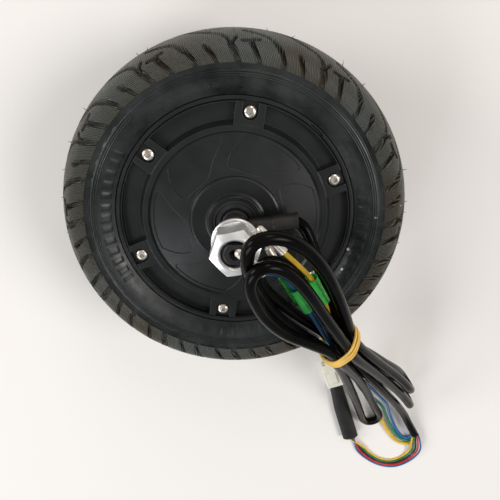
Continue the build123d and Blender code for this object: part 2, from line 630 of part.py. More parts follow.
# clear insulating sleeves, slid back along the phase wires
SLIPPED_SLEEVES = (((39.5, -19.5, 54.5), (47.0, -34.0, 49.0)), ((30.5, -24.5, 56.0), (41.0, -44.0, 47.5)),
                   ((25.5, -20.5, 50.5), (36.0, -40.0, 42.5)))
with BuildPart() as slipped:
    Cylinder(3.2, 20.0, align=(Align.CENTER, Align.CENTER, Align.MIN))
    Cylinder(2.6, 20.0, align=(Align.CENTER, Align.CENTER, Align.MIN), mode=Mode.SUBTRACT)
sleeves = [Plane(origin=start, z_dir=Vector(*end) - Vector(*start)).location * slipped.part
           for start, end in SLIPPED_SLEEVES]
save(Compound(children=sleeves), "terminal_sleeves")

# ------------------------------------------------------------------ hall-sensor wires, sleeve and plug
HALL_R = 0.75
HALL_FLOOR_Z = FLOOR_Z + HALL_R
HALL_SLEEVE_START = (103.0, -231.0, -53.4)
HALL_SLEEVE_MID = (92.5, -199.0, -53.4)
HALL_SLEEVE_END = (84.5, -172.0, -53.4)
PLUG_DIR = (-0.33, 0.94, 0)
# the loop of the outermost wire; the others lie inside it, nearer to the loop's middle
HALL_LOOP_MID = (137.0, -243.0)
HALL_LOOP = [(168, -239, -51.8), (170, -252, -54.5), (163, -265, HALL_FLOOR_Z), (149, -272.5, HALL_FLOOR_Z),
             (133, -269.5, HALL_FLOOR_Z), (117.5, -258.5, HALL_FLOOR_Z), (108, -245.5, -55.6)]
HALL_COLOURS = ("blue", "red", "black", "green", "yellow")
HALL_STEP = 0.075


def hall_route(index):
    """Route of one thin wire, from the end of the jacket to the mouth of the shrink sleeve."""
    shift = index - 2
    shrink = 1 - HALL_STEP * index
    points = [(161.2 - 1.2 * shift, -229.3 - 0.7 * shift, -51.6 + 0.9 * (index % 2))]
    for x, y, z in HALL_LOOP:
        points.append((HALL_LOOP_MID[0] + (x - HALL_LOOP_MID[0]) * shrink,
                       HALL_LOOP_MID[1] + (y - HALL_LOOP_MID[1]) * shrink, z))
    points.append((HALL_SLEEVE_START[0] - 1.9 * shift * 0.95, HALL_SLEEVE_START[1] - 1.9 * shift * 0.31, -53.4))
    return points


for index, colour in enumerate(HALL_COLOURS):
    save(tube(hall_route(index), HALL_R, f"hall_wire_{colour}"), f"hall_wire_{colour}")

with BuildPart() as hall_sleeve:
    for centre, direction, half_w, half_h in ((HALL_SLEEVE_START, (-0.31, 0.95, 0), 6.8, 3.5),
                                              (HALL_SLEEVE_MID, (-0.29, 0.96, 0), 6.6, 3.6),
                                              (HALL_SLEEVE_END, PLUG_DIR, 5.2, 3.4)):
        with BuildSketch(Plane(origin=centre, x_dir=(direction[1], -direction[0], 0), z_dir=direction)):
            Ellipse(half_w, half_h)
    loft(ruled=True)
save(hall_sleeve.part, "hall_sleeve")

plug_plane = Plane(origin=(HALL_SLEEVE_END[0], HALL_SLEEVE_END[1], FLOOR_Z + 4.2),
                   x_dir=(PLUG_DIR[1], -PLUG_DIR[0], 0), z_dir=PLUG_DIR)
contact_grid = GridLocations(4.2, 3.6, 3, 2)
with BuildPart() as hall_plug:
    with BuildSketch():
        RectangleRounded(14.0, 8.2, 0.8)
    extrude(amount=15.0)
    with BuildSketch(Plane.XY.offset(15.0)):
        RectangleRounded(12.4, 6.8, 0.6)
    extrude(amount=8.0)
    with BuildSketch():
        with contact_grid:
            Rectangle(2.2, 2.2)
    extrude(amount=23.0, mode=Mode.SUBTRACT)
    # latch arm on the broad side that faces up
    with BuildSketch(Plane.YZ.offset(-2.5)):
        Polygon((-4.1, 3.0), (-5.6, 5.0), (-5.6, 13.0), (-4.1, 15.0), align=None)
    extrude(amount=5.0)
save(plug_plane.location * hall_plug.part, "hall_plug")

with BuildPart() as hall_contacts:
    with BuildSketch(Plane.XY.offset(1.5)):
        with contact_grid:
            Rectangle(2.1, 2.1)
            Rectangle(1.2, 1.2, mode=Mode.SUBTRACT)
    extrude(amount=19.0)
save(plug_plane.location * hall_contacts.part, "hall_contacts")
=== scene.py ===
# Looks of the hub motor wheel: tread and sidewall of the tyre, finishes of the metal and plastic parts,
# the tied hank of motor cable with its wires, and a pale studio.
from math import cos, exp, pi, radians, sin

import bpy
import numpy as np
from mathutils import Matrix, Vector


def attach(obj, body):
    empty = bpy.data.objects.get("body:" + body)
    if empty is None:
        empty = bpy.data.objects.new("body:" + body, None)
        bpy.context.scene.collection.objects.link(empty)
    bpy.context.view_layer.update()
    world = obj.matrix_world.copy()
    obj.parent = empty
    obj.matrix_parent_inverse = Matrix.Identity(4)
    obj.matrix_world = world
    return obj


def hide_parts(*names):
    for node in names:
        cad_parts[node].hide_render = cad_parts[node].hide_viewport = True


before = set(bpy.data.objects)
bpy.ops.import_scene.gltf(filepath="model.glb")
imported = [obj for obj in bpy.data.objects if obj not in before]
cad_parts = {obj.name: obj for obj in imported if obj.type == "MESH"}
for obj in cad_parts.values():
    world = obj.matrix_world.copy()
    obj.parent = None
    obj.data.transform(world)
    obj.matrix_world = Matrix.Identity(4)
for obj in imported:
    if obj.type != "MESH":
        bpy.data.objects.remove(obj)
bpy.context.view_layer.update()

MM = 0.001
ROOT_BODY = "axle_assembly"
ROTOR = "rotor"


def metres(points):
    """Points in millimetres as vectors in metres."""
    return [Vector(point) * MM for point in points]


# ------------------------------------------------------------------ camera
CAMERA_PLACE = (0.9, 88.6, 274.3)      # millimetres, in the wheel's frame
CAMERA_RIGHT = Vector((0.99963, 0.0105, 0.025))
CAMERA_BACK = Vector((-0.0271, 0.3869, 0.922))
CAMERA_LENS = 34.2                     # millimetres, on a 36 mm sensor

back = CAMERA_BACK.normalized()
right = (CAMERA_RIGHT - back * CAMERA_RIGHT.dot(back)).normalized()
up = back.cross(right)
camera = bpy.data.objects.new("camera", bpy.data.cameras.new("camera"))
camera.data.lens = CAMERA_LENS
camera.data.sensor_width = 36.0
camera.data.clip_start = 0.01
turn = Matrix((right, up, back)).transposed().to_4x4()
camera.matrix_world = Matrix.Translation(Vector(CAMERA_PLACE) * MM) @ turn
bpy.context.scene.collection.objects.link(camera)
bpy.context.scene.camera = camera


# ------------------------------------------------------------------ materials
class Shader:
    """A Principled material, with short calls for the nodes that drive it."""

    def __init__(self, name, color, roughness, **sockets):
        self.material = bpy.data.materials.new(name)
        self.material.use_nodes = True
        self.nodes = self.material.node_tree.nodes
        self.links = self.material.node_tree.links
        self.surface = self.nodes["Principled BSDF"]
        self.surface.inputs["Base Color"].default_value = (*color, 1)
        self.surface.inputs["Roughness"].default_value = roughness
        for socket, value in sockets.items():
            self.surface.inputs[socket.replace("_", " ")].default_value = value
        self.place = self.nodes.new("ShaderNodeTexCoord").outputs["Object"]

    def node(self, kind, **values):
        node = self.nodes.new(kind)
        for name, value in values.items():
            if name in node.inputs:
                node.inputs[name].default_value = value
            else:
                setattr(node, name, value)
        return node

    def noise(self, scale, detail=3.0, roughness=0.55, stretch=None):
        node = self.node("ShaderNodeTexNoise", Scale=scale, Detail=detail, Roughness=roughness)
        place = self.place
        if stretch:
            mapping = self.node("ShaderNodeMapping", Scale=stretch)
            self.links.new(place, mapping.inputs["Vector"])
            place = mapping.outputs["Vector"]
        self.links.new(place, node.inputs["Vector"])
        return node.outputs["Fac"]

    def rounded(self, radius):
        """Normal of the surface as if its edges were rounded."""
        return self.node("ShaderNodeBevel", Radius=radius, samples=4).outputs["Normal"]

    def painted_edge_highlight(self, color, radius, highlight_color):
        """Mix a lighter colour into a base colour along sharp edges, as a painted highlight."""
        geometry = self.node("ShaderNodeNewGeometry")
        product = self.node("ShaderNodeVectorMath", operation="DOT_PRODUCT")
        self.links.new(self.rounded(radius), product.inputs[0])
        self.links.new(geometry.outputs["Normal"], product.inputs[1])
        mix = self.node("ShaderNodeMix", data_type="RGBA")
        mix.inputs["B"].default_value = (*highlight_color, 1)
        self.links.new(self.ramp(product.outputs["Value"], 0.7, 0.0, 0.80, 0.97), mix.inputs["Factor"])
        self.links.new(color, mix.inputs["A"])
        self.links.new(mix.outputs["Result"], self.surface.inputs["Base Color"])

    def ramp(self, value, low, high, start=0.35, end=0.65):
        node = self.node("ShaderNodeMapRange")
        for socket, number in zip(node.inputs[1:5], (start, end, low, high)):
            socket.default_value = number
        self.links.new(value, node.inputs["Value"])
        return node.outputs["Result"]

    def tint(self, value, first, second, start=0.35, end=0.65):
        """Base colour from first to second as the value rises."""
        mix = self.node("ShaderNodeMix", data_type="RGBA")
        mix.inputs["A"].default_value = (*first, 1)
        mix.inputs["B"].default_value = (*second, 1)
        self.links.new(self.ramp(value, 0.0, 1.0, start, end), mix.inputs["Factor"])
        self.links.new(mix.outputs["Result"], self.surface.inputs["Base Color"])
        return mix.outputs["Result"]

    def roughen(self, value, low, high, start=0.3, end=0.7):
        self.links.new(self.ramp(value, low, high, start, end), self.surface.inputs["Roughness"])

    def bump(self, value, height, strength=1.0, after=None):
        node = self.node("ShaderNodeBump", Strength=strength, Distance=height)
        self.links.new(value, node.inputs["Height"])
        if after:
            self.links.new(after, node.inputs["Normal"])
        self.links.new(node.outputs["Normal"], self.surface.inputs["Normal"])
        return node.outputs["Normal"]


def satin_paint(name, color, lighter, roughness=0.36, grain=900.0):
    """Black paint on a casting: fine orange peel and cloudy tone."""
    shader = Shader(name, color, roughness)
    shader.surface.inputs["Specular IOR Level"].default_value = 0.3
    tone = shader.tint(shader.noise(26.0, 4.0), color, lighter)
    # the sharp edges get a lighter colour: a painted highlight along them
    shader.painted_edge_highlight(tone, 0.0004, (0.075, 0.080, 0.078))
    shader.roughen(shader.noise(60.0, 5.0), roughness - 0.08, roughness + 0.1)
    shader.bump(shader.noise(grain, 2.0), 0.00006, 0.5, after=shader.rounded(0.0005))
    return shader.material


def metal(name, color, roughness, scratch=500.0, stretch=(1, 1, 1), bump=0.00003, metallic=1.0):
    """Plated or ground metal with fine tool marks and uneven gloss."""
    shader = Shader(name, color, roughness, Metallic=metallic)
    shader.tint(shader.noise(180.0, 3.0), tuple(c * 0.9 for c in color), color)
    shader.roughen(shader.noise(300.0, 4.0, stretch=stretch), roughness * 0.8, roughness * 1.4)
    shader.bump(shader.noise(scratch, 3.0, stretch=stretch), bump, 0.5)
    return shader.material


def plastic(name, color, roughness, darker=0.75, grain=700.0, height=0.00004, **sockets):
    """Moulded or extruded plastic with slight tone and gloss changes."""
    shader = Shader(name, color, roughness, **sockets)
    shader.tint(shader.noise(90.0, 3.0), tuple(c * darker for c in color), color)
    shader.roughen(shader.noise(160.0, 4.0), roughness - 0.06, roughness + 0.1)
    shader.bump(shader.noise(grain, 2.0), height, 0.4)
    return shader.material


def clear_plastic(name, color, roughness, weight, alpha):
    """Clear tinted sleeve: part of the light goes through it, and it is slightly uneven."""
    shader = Shader(name, color, roughness, Transmission_Weight=weight, Alpha=alpha)
    shader.surface.inputs["Subsurface Weight"].default_value = 0.25
    shader.surface.inputs["Subsurface Scale"].default_value = 0.003
    shader.tint(shader.noise(220.0, 3.0), tuple(c * 0.7 for c in color), color)
    shader.bump(shader.noise(500.0, 2.0), 0.0001, 0.5)
    return shader.material


def cable_black(name):
    """Soft PVC jacket: deep black, with a crisp but weak shine and shallow dents."""
    shader = Shader(name, (0.006, 0.006, 0.006), 0.3)
    shader.surface.inputs["Specular IOR Level"].default_value = 0.07
    shader.tint(shader.noise(45.0, 4.0), (0.001, 0.001, 0.0012), (0.005, 0.0045, 0.004))
    shader.roughen(shader.noise(120.0, 4.0), 0.13, 0.24)
    fine = shader.bump(shader.noise(2200.0, 2.0), 0.00002, 0.3)
    shader.bump(shader.noise(140.0, 2.0), 0.0002, 0.12, after=fine)
    return shader.material


def shrink_black(name):
    """Heat-shrunk sleeve: matt, with the creases of what lies under it."""
    shader = Shader(name, (0.012, 0.011, 0.011), 0.5)
    shader.surface.inputs["Specular IOR Level"].default_value = 0.35
    shader.tint(shader.noise(70.0, 4.0), (0.007, 0.0065, 0.0065), (0.018, 0.016, 0.015))
    fine = shader.bump(shader.noise(1500.0, 3.0), 0.00005, 0.5)
    shader.bump(shader.noise(130.0, 2.0), 0.0006, 0.5, after=fine)
    return shader.material


WIRE_COLORS = {
    "yellow": (0.80, 0.50, 0.02),
    "green": (0.02, 0.20, 0.09),
    "blue": (0.01, 0.13, 0.36),
    "red": (0.70, 0.02, 0.015),
    "black": (0.012, 0.012, 0.012),
}
wire_materials = {colour: plastic(f"wire_{colour}", rgb, 0.34) for colour, rgb in WIRE_COLORS.items()}
cable_material = cable_black("cable_jacket")
shrink_material = shrink_black("shrink_sleeve")


# ------------------------------------------------------------------ cords
# The hank's own frame: origin at the band, along the hank, across it, and away from the wheel.
HANK_ORIGIN = Vector((62, -80, 33))
HANK_ALONG = Vector((0.424, -0.8, -0.424)).normalized()
hank_up = Vector((0.199, -0.375, 0.906))
HANK_ABOVE = (hank_up - HANK_ALONG * hank_up.dot(HANK_ALONG)).normalized()
HANK_ACROSS = HANK_ABOVE.cross(HANK_ALONG)


def hank(*points):
    """Points given in the hank's frame, in the wheel's frame, in millimetres."""
    return [HANK_ORIGIN + HANK_ALONG * a + HANK_ACROSS * b + HANK_ABOVE * c for a, b, c in points]


def new_curve(name, routes, radius, material, cyclic=False):
    """Round tubes along smooth NURBS lines, in one object."""
    curve = bpy.data.curves.new(name, "CURVE")
    curve.dimensions = "3D"
    curve.bevel_depth = radius * MM
    curve.bevel_resolution = 5
    curve.resolution_u = 10
    curve.use_fill_caps = not cyclic
    for points in routes:
        spline = curve.splines.new("NURBS")
        spline.points.add(len(points) - 1)
        for place, point in zip(spline.points, metres(points)):
            place.co = (*point, 1)
        spline.order_u = 3
        spline.use_cyclic_u = cyclic
        spline.use_endpoint_u = not cyclic
    piece = bpy.data.objects.new(name, curve)
    bpy.context.scene.collection.objects.link(piece)
    piece.data.materials.append(material)
    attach(piece, ROOT_BODY)
    return piece


CABLE_R = 3.3
# out of the axle and through the sleeve, and the tail down to the end of the jacket
LEAD_ROUTE = [(10, 1.1, 30.5), (22, 2.3, 30.6), (35.4, 4.0, 30.8), (42, -8, 32.5), (45.5, -21, 38),
              (54, -38, 43.5)]
TAIL_ROUTE = [(118, -158, -21), (133, -180, -35), (146, -201, -47), (154, -217, -51.5), (161, -229, -53.2)]
# the seven legs that pass through the band, in the hank's frame
HANK_LEGS = [
    # incoming lead, down to the right-hand fold
    (-12, 7.2, -7.0), (8, 7.2, -7.4), (38, 16, -10.5), (70, 23, -13.5), (90, 27.5, -17),
    (108, 29.8, -19.8), (116, 30.6, -15.6), (116, 31, -8.8), (107, 30.5, -4.6),
    # up again, and round the big loop over the axle nut
    (84, 27.5, -5), (60, 22.5, -4.2), (32, 17, -2.2), (5, 12.5, 0), (-12, 12.2, 0), (-38, 15.2, 0),
    (-60, 16.8, 0.4), (-80, 17, 1), (-98, 14.5, 1), (-111, 9.5, 1.5), (-118, 2, 1.5), (-118.5, -6, 1),
    (-109, -12.5, 0.5), (-94, -16.5, -2),
    # down to the left-hand fold
    (-76, -18.5, -3.5), (-56, -18, -3), (-34, -13, -1.5), (-10, -5.6, -0.4), (8, -5.2, -1), (36, -5.5, -5.5),
    (72, -8.2, -9.5), (108, -11.2, -13), (142, -15, -15.6), (159, -17, -16.6), (168.5, -13, -16.6),
    (168.5, -6, -16.2), (159, -1.6, -15.6),
    # up to the loop that lies on top
    (140, -1.8, -14.5), (104, 0, -11), (64, 1.5, -6), (27, 0.2, 0.5), (3, -0.8, 5.4), (-12, -1.8, 5.8),
    (-30, -9, 5.6), (-50, -18, 5.5), (-70, -20.8, 5.5), (-86, -19.6, 5.5), (-98, -17, 5.5),
    (-105.5, -11.5, 5.5), (-106, -5, 5.5), (-100, 0.3, 5.6), (-89, 3.6, 6),
    # down to the middle fold
    (-72, 5.2, 6.2), (-50, 5.6, 6.2), (-20, 7, 6.3), (4, 7.4, 5.6), (36, 12.4, 1), (72, 17.8, -3),
    (104, 22.2, -5.5), (126, 24.5, -5.8), (138, 25.2, -5.6), (145.5, 25.6, -10), (145, 25.5, -16.8),
    (137, 24.6, -21), (124, 22.6, -20),
    # up to the inner loop
    (100, 20, -15.5), (68, 15.5, -10.5), (35, 9, -6.5), (5, 3.2, -1.2), (-12, 2.8, -1), (-34, 3.5, -3),
    (-58, 3.5, -6), (-78, 1.8, -8), (-89, -1.5, -8), (-94, -7, -8), (-90, -13, -8), (-78, -15.8, -8),
    # down to the end of the jacket
    (-55, -12.5, -8), (-32, -7.5, -8), (-12, -1.2, -7.5), (8, 0, -7.5), (38, 3.2, -9.2), (72, 9, -8.2),
]
motor_cable = new_curve("motor_cable", [LEAD_ROUTE + hank(*HANK_LEGS) + TAIL_ROUTE], CABLE_R, cable_material)
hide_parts("cable_lead", "cable_hank", "cable_tail")

# The rubber band: four wraps pulled tight round the legs, slanted across the hank.
BAND_OUTLINE = [(-9.6, -1.5), (-8.6, 3.2), (-4.6, 8.4), (-1, 9.9), (3.2, 10.2), (8, 10.2), (12, 7.6),
                (15.6, 3.6), (16.6, -1.6), (13.8, -7), (10.6, -10.8), (5.6, -12.6), (1.2, -12.6),
                (-4.6, -10.8), (-8.6, -7.4)]
BAND_SLOPE = -0.53
BAND_R = 0.8
BAND_PLACE = -7.2                      # place of the middle of the band along the hank
BAND_MIDDLE = (3.1, -0.9)              # its middle across the hank and above it
# each wrap: shift along the hank, size and extra slope
BAND_WRAPS = ((-2.7, 1.0, -0.06), (-0.9, 1.04, 0.10), (1.1, 1.0, -0.02), (2.7, 1.03, 0.05))


def band_route(shift, size, extra):
    """One wrap of the band, as points in the wheel's frame."""
    points = []
    for across, above in BAND_OUTLINE:
        b = BAND_MIDDLE[0] + (across - BAND_MIDDLE[0]) * size
        c = BAND_MIDDLE[1] + (above - BAND_MIDDLE[1]) * size
        points.append((BAND_PLACE + (BAND_SLOPE + extra) * (b - BAND_MIDDLE[0]) + shift, b, c))
    return hank(*points)


band_material = plastic("band_rubber", (0.80, 0.50, 0.10), 0.42, darker=0.8, Subsurface_Weight=0.15,
                        Subsurface_Scale=0.001)
band = new_curve("band_wraps", [band_route(*wrap) for wrap in BAND_WRAPS], BAND_R, band_material, cyclic=True)
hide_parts("rubber_band")

PHASE_R = 1.3
# from the jacket's end, back under the folds, along the hank and out to the terminals
PHASE_ROUTES = {
    "yellow": [(163, -228.9, -55.2), (165, -236.5, -55.6), (158, -243.5, -55.6), (147, -240.5, -55.6),
               (137, -228, -55.4), (128, -210, -53), (121, -193, -49)]
              + hank((130, -1, -19.5), (105, 2.5, -17), (72, 6, -14), (38, 7.5, -13), (8, 3.4, -11.3),
                     (-10, 3.4, -10.8), (-25, 4.5, -6.5), (-38, 7.5, -5), (-50, 8.3, -5.8), (-67, 8.4, -7.7),
                     (-80, 6, -8.3), (-93, 3, -9)),
    "green": [(161.2, -229.6, -54.9), (162, -236, -55.6), (155.5, -239.5, -55.6), (147, -234.5, -55.6),
              (139, -221, -54.2), (130.5, -203, -49.5), (124, -187, -42)]
             + hank((130, 1.5, -18.5), (105, -3.5, -16.5), (72, -2.5, -13.5), (38, -2.5, -11.5),
                    (8, -5, -7.6), (-8, -4, -11.5), (-24, -2, -12.8), (-40, -3.6, -12), (-52, -4.3, -12.1),
                    (-70, -4.4, -13.7), (-77, -3.4, -11), (-80, -2.7, -6.9)),
    "blue": [(159.3, -230.4, -54.6), (158.5, -235.5, -55.4), (152.5, -235.5, -55.6), (145.5, -227, -54.5),
             (138, -212, -51), (131, -196, -45), (126, -181, -37)]
            + hank((115, 6.5, -13), (90, 4.5, -12.5), (60, 0, -10.5), (38, -0.5, -6.2), (8, -1.3, -3.2),
                   (-10, -1.4, -3), (-30, -1.8, -4.5), (-44, -1.7, -4.8), (-66, -1.9, -6.4),
                   (-76, -3.4, -9.5), (-86, -7.5, -6.5), (-94.5, -9, -1.2)),
}
HALL_R = 0.75
HALL_FLOOR_Z = -56.25
HALL_SLEEVE_START = (103.0, -231.0, -53.4)
HALL_LOOP_MID = (137.0, -243.0)
HALL_LOOP = [(168, -239, -51.8), (170, -252, -54.5), (163, -265, HALL_FLOOR_Z), (149, -272.5, HALL_FLOOR_Z),
             (133, -269.5, HALL_FLOOR_Z), (117.5, -258.5, HALL_FLOOR_Z), (108, -245.5, -55.6)]
HALL_COLOURS = ("blue", "red", "black", "green", "yellow")     # from the outside of the loop inwards
HALL_STEP = 0.075                      # each loop is this share smaller than the one outside it
HALL_START = (161.2, -229.3, -51.6)    # where the middle wire leaves the jacket
HALL_MOUTH_STEP = (1.9 * 0.95, 1.9 * 0.31)   # from one wire to the next in the sleeve's mouth


def hall_route(index):
    """Route of one thin wire, from the end of the jacket to the mouth of the shrink sleeve."""
    shift = index - 2
    shrink = 1 - HALL_STEP * index
    x, y, z = HALL_START
    points = [(x - 1.2 * shift, y - 0.7 * shift, z + 0.9 * (index % 2))]
    for x, y, z in HALL_LOOP:
        points.append((HALL_LOOP_MID[0] + (x - HALL_LOOP_MID[0]) * shrink,
                       HALL_LOOP_MID[1] + (y - HALL_LOOP_MID[1]) * shrink, z))
    x, y, z = HALL_SLEEVE_START
    points.append((x - HALL_MOUTH_STEP[0] * shift, y - HALL_MOUTH_STEP[1] * shift, z))
    return points


for colour, points in PHASE_ROUTES.items():
    wire = new_curve(f"phase_{colour}", [points], PHASE_R, wire_materials[colour])
    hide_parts(f"phase_wire_{colour}")
for index, colour in enumerate(HALL_COLOURS):
    wire = new_curve(f"hall_{colour}", [hall_route(index)], HALL_R, wire_materials[colour])
    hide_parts(f"hall_wire_{colour}")

# ------------------------------------------------------------------ tyre
# Outer profile as radius and half width, from the rim to the crown.
PROFILE = [(68.1, 17.3), (72.0, 20.0), (76.0, 22.0), (79.0, 23.0), (83.0, 24.3), (86.5, 25.0), (89.5, 24.6),
           (92.0, 23.2), (95.0, 19.6), (97.4, 14.5), (99.2, 8.0), (100.0, 0.0)]
PITCHES = 12                              # repeats of the tread pattern round the tyre
TREAD_R = 95.0                            # radius at which distances round the tread are measured
PITCH = 2 * pi * TREAD_R / PITCHES
TREAD_TURN = 21.4                         # degrees from +X to the first groove
TREAD_STEPS = PITCHES * 98
TREAD_EDGE_R = 83.4                       # the blocks end here, above a smooth band
BAND_START_R = 80.4
BAND_DEPTH = 1.0                          # the smooth band lies this far under the block tops
GROOVE_DEPTH = 2.8
MOUTH_DEPTH = 1.05                        # depth of a groove where it opens into the band
COLUMN_LEAN = 0.5                         # the mesh leans as the grooves do, out to this distance
COLUMN_LEAN_TO = 22.0                     # from the crown's middle
UNDERSIDE = 4.0                           # the casing lies this far under the block tops
EDGE_DEPTH = 2.6                          # the side face of the blocks goes this deep
UNDERSIDE_R, UNDERSIDE_Z = 91.5, 12.0     # corners of the plain underside of the tread
FINE_ROWS = (25.5, 19.5)                  # the mesh is finer between these distances from the crown's middle

# Grooves of one pitch: points as degrees round the tyre and distance over the surface from the crown's
# middle, and width.
GROOVES = [
    # straight groove under a short bar
    ([(-0.3, 37), (1.5, 30), (3.2, 24.8)], 3.0),
    ([(1.2, 21.2), (3.9, 22.6), (6.4, 22.9)], 1.5),
    # groove that forks near its top; one branch runs on into the middle of the crown
    ([(7.0, 37), (8.5, 30), (9.8, 25.3)], 3.7),
    ([(9.8, 25.3), (8.2, 20.2)], 1.3),
    ([(9.8, 25.3), (11.2, 20.9), (13.6, 17), (18, 13.2), (22.8, 7.5), (28, 2)], 1.6),
    # short groove, closed at its top
    ([(13.8, 37), (15.9, 30), (17.8, 25.9)], 2.7),
    # long groove that bends round into the crown
    ([(22, 37), (22.2, 31), (23.4, 27.2), (25.2, 24.0)], 2.9),
    ([(25.2, 24.0), (27.2, 20.2), (29.2, 17.6), (32, 15.4), (36, 12.4)], 1.9),
]
SIDE_RIBS = (77.4, 78.4, 79.6)            # fine rings on the sidewall
RIB_HEIGHT, RIB_SIZE = 0.34, 0.24
SIDE_STEPS = 640
# inside of the casing from one bead to the crown's middle, as radius and half width
INNER_LINE = [(68.1, 15.2), (66.4, 14.9), (66.4, 8.0), (69.5, 9.0), (74.5, 13.6), (80.0, 16.0), (86.0, 14.0),
              (90.5, 8.4), (91.5, 0.0)]
# arcs in degrees with a row of plain raised bars, between two radii
BAR_ARCS = ((148.0, 210.0), (322.0, 372.0), (262.0, 292.0))
BAR_RADII = (70.2, 75.0)
BAR_PITCH = 5.2                           # degrees from bar to bar
BAR_HEIGHT = 0.26
BAR_SLOPE = 0.4                           # the bars fall away over this distance at their ends


def smooth(x):
    """Smooth step from 0 to 1."""
    x = np.clip(x, 0.0, 1.0)
    return x * x * (3 - 2 * x)


class Section:
    """The smooth outer line of the tyre: radius, half width and outward normal at any distance along it."""

    def __init__(self):
        knots = np.array(PROFILE)
        padded = np.vstack([2 * knots[0] - knots[1], knots, knots[-2] * (1, -1)])
        u = np.linspace(0, 1, 40, endpoint=False)[:, None]
        pieces = [0.5 * (2 * p1 + (p2 - p0) * u + (2 * p0 - 5 * p1 + 4 * p2 - p3) * u ** 2
                         + (3 * p1 - p0 - 3 * p2 + p3) * u ** 3)
                  for p0, p1, p2, p3 in zip(padded, padded[1:], padded[2:], padded[3:])]
        self.line = np.vstack([*pieces, knots[-1:]])
        self.length = np.concatenate([[0], np.cumsum(np.hypot(*np.diff(self.line, axis=0).T))])
        slope = np.gradient(self.line, self.length, axis=0)
        self.normal = np.stack([-slope[:, 1], slope[:, 0]], axis=1)
        self.total = self.length[-1]

    def at(self, distance, lift=0.0):
        """Radius and half width at a distance from the rim edge, raised by lift."""
        r, z, nr, nz = (np.interp(distance, self.length, values)
                        for values in (*self.line.T, *self.normal.T))
        return r + nr * lift, z + nz * lift

    def at_radius(self, r):
        """Distance along the line where it has this radius."""
        return float(np.interp(r, self.line[:, 0], self.length))


section = Section()


def groove_depth(t, c):
    """Depth of the grooves at distance t round the tyre and distance c over the surface from its middle."""
    share = np.zeros_like(t)
    for points, width in GROOVES:
        line = [(radians(turn) * TREAD_R, out) for turn, out in points]
        for (ax, ac), (bx, bc) in zip(line, line[1:]):
            for shift in (-PITCH, 0, PITCH):
                dx, dc = bx - ax, bc - ac
                px, pc = t - shift - ax, c - ac
                along = np.clip((px * dx + pc * dc) / (dx ** 2 + dc ** 2), 0, 1)
                gap = np.hypot(px - along * dx, pc - along * dc)
                share = np.maximum(share, smooth((width / 2 + 0.25 - gap) / 0.6))
    edge = section.total - section.at_radius(TREAD_EDGE_R)
    return share * (MOUTH_DEPTH + (GROOVE_DEPTH - MOUTH_DEPTH) * smooth((edge - c) / 6))


def ring_object(name, rows, steps, material, uv_length):
    """Closed ring from rows of (radii, z values, angles); its uv holds the distance round and across."""
    vertices = np.concatenate([np.stack([r * np.cos(angle), r * np.sin(angle), z], axis=1)
                               for r, z, angle in rows]) * MM
    count = len(rows)
    i, k = np.meshgrid(np.arange(count), np.arange(steps), indexing="ij")
    j, m = (i + 1) % count, (k + 1) % steps
    faces = np.stack([i * steps + k, j * steps + k, j * steps + m, i * steps + m], axis=-1).reshape(-1, 4)
    mesh = bpy.data.meshes.new(name)
    mesh.from_pydata(vertices.tolist(), [], faces.tolist())
    travel = np.array([*uv_length, uv_length[-1]])
    low, high = travel[i], travel[np.minimum(i + 1, count)]
    left, step = k * 2 * pi * TREAD_R / steps, 2 * pi * TREAD_R / steps
    corners = np.stack([np.stack([left, low], -1), np.stack([left, high], -1),
                        np.stack([left + step, high], -1), np.stack([left + step, low], -1)], axis=2)
    layer = mesh.uv_layers.new(name="tread")
    layer.data.foreach_set("uv", (corners * MM).ravel())
    mesh.polygons.foreach_set("use_smooth", [True] * len(faces))
    piece = bpy.data.objects.new(name, mesh)
    bpy.context.scene.collection.objects.link(piece)
    piece.data.materials.append(material)
    return piece


def build_tread(material):
    """Ring of tread blocks, from one edge over the crown to the other, with a plain underside."""
    start = section.at_radius(TREAD_EDGE_R)
    bars_from, bars_to = (section.total - distance for distance in FINE_ROWS)
    half = [*np.linspace(start, bars_from, 12, endpoint=False),
            *np.linspace(bars_from, bars_to, 9, endpoint=False),
            *np.linspace(bars_to, section.total, 18, endpoint=False)]
    angles = np.arange(TREAD_STEPS) * 2 * pi / TREAD_STEPS
    rows, travel = [], []

    def add_row(distance, side, sunk=0.0):
        c = np.full(TREAD_STEPS, section.total - distance)
        angle = angles - COLUMN_LEAN * np.maximum(c, COLUMN_LEAN_TO) / TREAD_R
        t = ((angle - radians(TREAD_TURN)) * TREAD_R + (PITCH / 2 if side < 0 else 0)) % PITCH
        r, z = section.at(np.full(TREAD_STEPS, distance), -groove_depth(t, c) - sunk)
        rows.append((r, side * z, angle))
        travel.append(distance if side > 0 else 2 * section.total - distance)

    add_row(start, 1, sunk=EDGE_DEPTH)
    for distance in half:
        add_row(distance, 1)
    add_row(section.total, 1)
    for distance in reversed(half):
        add_row(distance, -1)
    add_row(start, -1, sunk=EDGE_DEPTH)
    for r, z in ((UNDERSIDE_R, -UNDERSIDE_Z), (UNDERSIDE_R, UNDERSIDE_Z)):
        rows.append((np.full(TREAD_STEPS, r), np.full(TREAD_STEPS, z), angles))
        travel.append(travel[-1] + 2)
    piece = ring_object("tyre_tread", rows, TREAD_STEPS, material, travel)
    piece.data.set_sharp_from_angle(angle=radians(38))
    return piece


